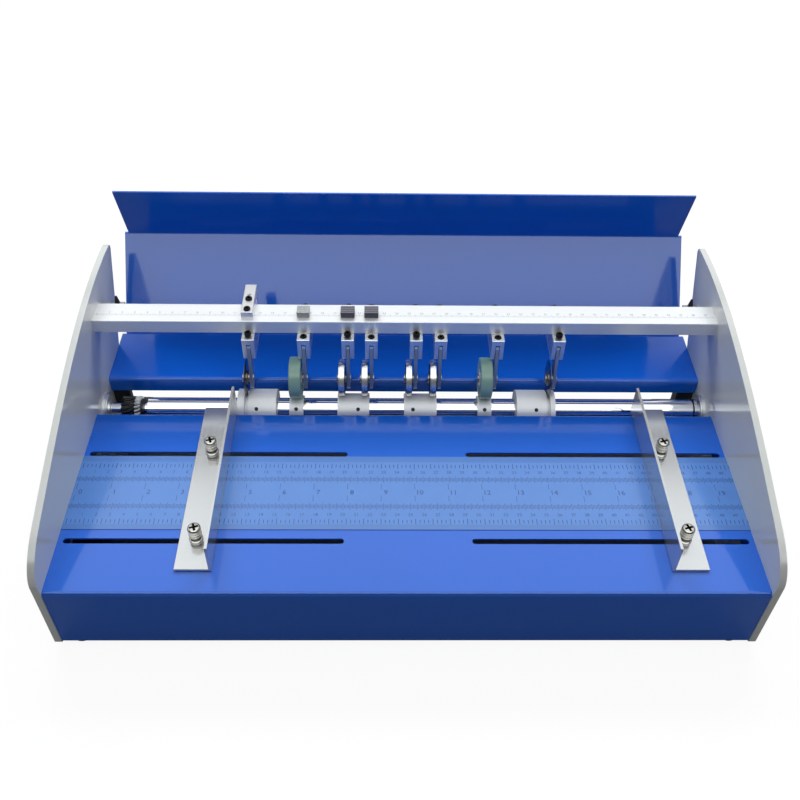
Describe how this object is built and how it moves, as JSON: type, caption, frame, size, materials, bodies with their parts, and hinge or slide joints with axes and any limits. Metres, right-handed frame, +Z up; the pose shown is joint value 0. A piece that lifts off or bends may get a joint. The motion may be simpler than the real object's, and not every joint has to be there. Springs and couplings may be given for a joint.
{
  "type": "desktop paper creasing machine",
  "caption": "Desktop paper creasing and slitting machine with a slotted blue feed table, adjustable paper guides, a geared shaft under sprung tool arms and a folding rear cover.",
  "frame": {"origin": "on the desk under the centre of the outline box, at the bottom of the feet", "axes": "+X to the right along the shaft, +Y to the back where the cover is, +Z up"},
  "size_m": [0.5144, 0.335, 0.1782],
  "materials": {
    "side_plates": "glossy grey paint with bright edges",
    "table_paint": "glossy blue powder paint",
    "ruler_film": "smooth translucent film",
    "black_steel": "black oxide",
    "steel": "ground steel",
    "aluminium": "satin, machined",
    "chrome": "polished",
    "nickel": "bright nickel plate, knurled",
    "brass": "turned",
    "black_rubber": "matt",
    "green_rubber": "smooth, slightly shiny",
    "black_plastic": "moulded",
    "white_plastic": "moulded nylon",
    "motor_paint": "matt"
  },
  "bodies": {
    "base": {"left_side_plate": "side_plates", "right_side_plate": "side_plates", "front_table": "table_paint", "ruler_strip": "ruler_film", "rear_table": "table_paint", "rear_brackets": "black_steel", "tool_bar": "aluminium", "frame_screws": "black_steel", "rubber_feet": "black_rubber", "cover_hinge_pins": "steel", "stop_pins": "steel", "stop_bumpers": "black_rubber", "shaft_bushes": "brass", "drive_motor": "motor_paint", "power_inlet": "black_plastic"},
    "cover": {"top_cover": "table_paint"},
    "shaft": {"drive_shaft": "chrome", "shaft_gear": "black_plastic", "gear_ring": "white_plastic", "shaft_sleeves": "aluminium", "shaft_fasteners": "black_steel"},
    "pinion": {"motor_pinion": "steel"},
    "left_guide_slider": {"left_guide": "aluminium", "left_thumb_screws": "nickel"},
    "right_guide_slider": {"right_guide": "aluminium", "right_thumb_screws": "nickel"},
    "rocker": {"power_rocker": "black_plastic"},
    "station_1": {"hanger_1": "aluminium", "station_screws_1": "black_steel", "clamp_bar": "aluminium"},
    "lever_1": {"arm_1": "steel"},
    "wheel_1": {"slitting_blade_1": "steel"},
    "station_2": {"hanger_2": "aluminium", "station_screws_2": "black_steel"},
    "lever_2": {"arm_2": "steel"},
    "wheel_2": {"feed_roller_2": "green_rubber"},
    "station_3": {"hanger_3": "aluminium", "station_screws_3": "black_steel"},
    "lever_3": {"arm_3": "steel"},
    "wheel_3": {"crease_wheel_3": "chrome"},
    "station_4": {"hanger_4": "aluminium", "station_screws_4": "black_steel"},
    "lever_4": {"arm_4": "steel"},
    "wheel_4": {"crease_wheel_4": "chrome"},
    "station_5": {"hanger_5": "aluminium", "station_screws_5": "black_steel"},
    "lever_5": {"arm_5": "steel"},
    "wheel_5": {"crease_wheel_5": "chrome"},
    "station_6": {"hanger_6": "aluminium", "station_screws_6": "black_steel"},
    "lever_6": {"arm_6": "steel"},
    "wheel_6": {"crease_wheel_6": "chrome"},
    "station_7": {"hanger_7": "aluminium", "station_screws_7": "black_steel"},
    "lever_7": {"arm_7": "steel"},
    "wheel_7": {"feed_roller_7": "green_rubber"},
    "station_8": {"hanger_8": "aluminium", "station_screws_8": "black_steel"},
    "lever_8": {"arm_8": "steel"},
    "wheel_8": {"slitting_blade_8": "steel"}
  },
  "joints": [
    {"name": "cover_hinge", "type": "hinge", "parent": "base", "child": "cover", "pos_m": [0, 0.10924, 0.064], "axis": [1, 0, 0], "range_deg": [0, 54]},
    {"name": "shaft_spin", "type": "hinge", "parent": "base", "child": "shaft", "pos_m": [0, 0.02554, 0.052], "axis": [1, 0, 0], "continuous": true},
    {"name": "motor_pinion_spin", "type": "hinge", "parent": "base", "child": "pinion", "pos_m": [-0.23, 0.01755, 0.0315], "axis": [1, 0, 0], "continuous": true},
    {"name": "left_guide_slide", "type": "slide", "parent": "base", "child": "left_guide_slider", "axis": [1, 0, 0], "range_m": [-0.08, 0.1]},
    {"name": "right_guide_slide", "type": "slide", "parent": "base", "child": "right_guide_slider", "axis": [1, 0, 0], "range_m": [-0.145, 0.03]},
    {"name": "power_rocker_tilt", "type": "hinge", "parent": "base", "child": "rocker", "pos_m": [-0.2535, -0.09046, 0.03], "axis": [0, 1, 0], "range_deg": [0, 14]},
    {"name": "hanger_1_slide", "type": "slide", "parent": "base", "child": "station_1", "axis": [1, 0, 0], "range_m": [-0.0007, 0.0007]},
    {"name": "arm_1_lift", "type": "hinge", "parent": "station_1", "child": "lever_1", "pos_m": [-0.127, 0.05454, 0.106], "axis": [-1, 0, 0], "range_deg": [0, 4]},
    {"name": "slitting_blade_1_spin", "type": "hinge", "parent": "lever_1", "child": "wheel_1", "pos_m": [-0.127, 0.03504, 0.0796], "axis": [1, 0, 0], "continuous": true},
    {"name": "hanger_2_slide", "type": "slide", "parent": "base", "child": "station_2", "axis": [1, 0, 0], "range_m": [-0.008, 0.01]},
    {"name": "arm_2_lift", "type": "hinge", "parent": "station_2", "child": "lever_2", "pos_m": [-0.0827, 0.05454, 0.106], "axis": [-1, 0, 0], "range_deg": [0, 4]},
    {"name": "feed_roller_2_spin", "type": "hinge", "parent": "lever_2", "child": "wheel_2", "pos_m": [-0.0827, 0.03504, 0.0796], "axis": [1, 0, 0], "continuous": true},
    {"name": "hanger_3_slide", "type": "slide", "parent": "base", "child": "station_3", "axis": [1, 0, 0], "range_m": [-0.01, 0.0019]},
    {"name": "arm_3_lift", "type": "hinge", "parent": "station_3", "child": "lever_3", "pos_m": [-0.0472, 0.05454, 0.106], "axis": [-1, 0, 0], "range_deg": [0, 4]},
    {"name": "crease_wheel_3_spin", "type": "hinge", "parent": "lever_3", "child": "wheel_3", "pos_m": [-0.0472, 0.03504, 0.0796], "axis": [1, 0, 0], "continuous": true},
    {"name": "hanger_4_slide", "type": "slide", "parent": "base", "child": "station_4", "axis": [1, 0, 0], "range_m": [-0.0019, 0.01]},
    {"name": "arm_4_lift", "type": "hinge", "parent": "station_4", "child": "lever_4", "pos_m": [-0.0282, 0.05454, 0.106], "axis": [-1, 0, 0], "range_deg": [0, 4]},
    {"name": "crease_wheel_4_spin", "type": "hinge", "parent": "lever_4", "child": "wheel_4", "pos_m": [-0.0282, 0.03504, 0.0796], "axis": [1, 0, 0], "continuous": true},
    {"name": "hanger_5_slide", "type": "slide", "parent": "base", "child": "station_5", "axis": [1, 0, 0], "range_m": [-0.01, 0.002]},
    {"name": "arm_5_lift", "type": "hinge", "parent": "station_5", "child": "lever_5", "pos_m": [0.008, 0.05454, 0.106], "axis": [-1, 0, 0], "range_deg": [0, 4]},
    {"name": "crease_wheel_5_spin", "type": "hinge", "parent": "lever_5", "child": "wheel_5", "pos_m": [0.008, 0.03504, 0.0796], "axis": [1, 0, 0], "continuous": true},
    {"name": "hanger_6_slide", "type": "slide", "parent": "base", "child": "station_6", "axis": [1, 0, 0], "range_m": [-0.002, 0.012]},
    {"name": "arm_6_lift", "type": "hinge", "parent": "station_6", "child": "lever_6", "pos_m": [0.0278, 0.05454, 0.106], "axis": [-1, 0, 0], "range_deg": [0, 4]},
    {"name": "crease_wheel_6_spin", "type": "hinge", "parent": "lever_6", "child": "wheel_6", "pos_m": [0.0278, 0.03504, 0.0796], "axis": [1, 0, 0], "continuous": true},
    {"name": "hanger_7_slide", "type": "slide", "parent": "base", "child": "station_7", "axis": [1, 0, 0], "range_m": [-0.012, 0.016]},
    {"name": "arm_7_lift", "type": "hinge", "parent": "station_7", "child": "lever_7", "pos_m": [0.0738, 0.05454, 0.106], "axis": [-1, 0, 0], "range_deg": [0, 4]},
    {"name": "feed_roller_7_spin", "type": "hinge", "parent": "lever_7", "child": "wheel_7", "pos_m": [0.0738, 0.03504, 0.0796], "axis": [1, 0, 0], "continuous": true},
    {"name": "hanger_8_slide", "type": "slide", "parent": "base", "child": "station_8", "axis": [1, 0, 0], "range_m": [-0.0007, 0.0007]},
    {"name": "arm_8_lift", "type": "hinge", "parent": "station_8", "child": "lever_8", "pos_m": [0.123, 0.05454, 0.106], "axis": [-1, 0, 0], "range_deg": [0, 4]},
    {"name": "slitting_blade_8_spin", "type": "hinge", "parent": "lever_8", "child": "wheel_8", "pos_m": [0.123, 0.03504, 0.0796], "axis": [1, 0, 0], "continuous": true}
  ],
  "couplings": [
    {"joint": "motor_pinion_spin", "follows": "shaft_spin", "ratio": -0.76},
    {"joint": "slitting_blade_1_spin", "follows": "shaft_spin", "ratio": -1.1039},
    {"joint": "feed_roller_2_spin", "follows": "shaft_spin", "ratio": -0.6699},
    {"joint": "crease_wheel_3_spin", "follows": "shaft_spin", "ratio": -0.88818},
    {"joint": "crease_wheel_4_spin", "follows": "shaft_spin", "ratio": -0.88818},
    {"joint": "crease_wheel_5_spin", "follows": "shaft_spin", "ratio": -0.88818},
    {"joint": "crease_wheel_6_spin", "follows": "shaft_spin", "ratio": -0.88818},
    {"joint": "feed_roller_7_spin", "follows": "shaft_spin", "ratio": -0.6699},
    {"joint": "slitting_blade_8_spin", "follows": "shaft_spin", "ratio": -1.1039}
  ]
}
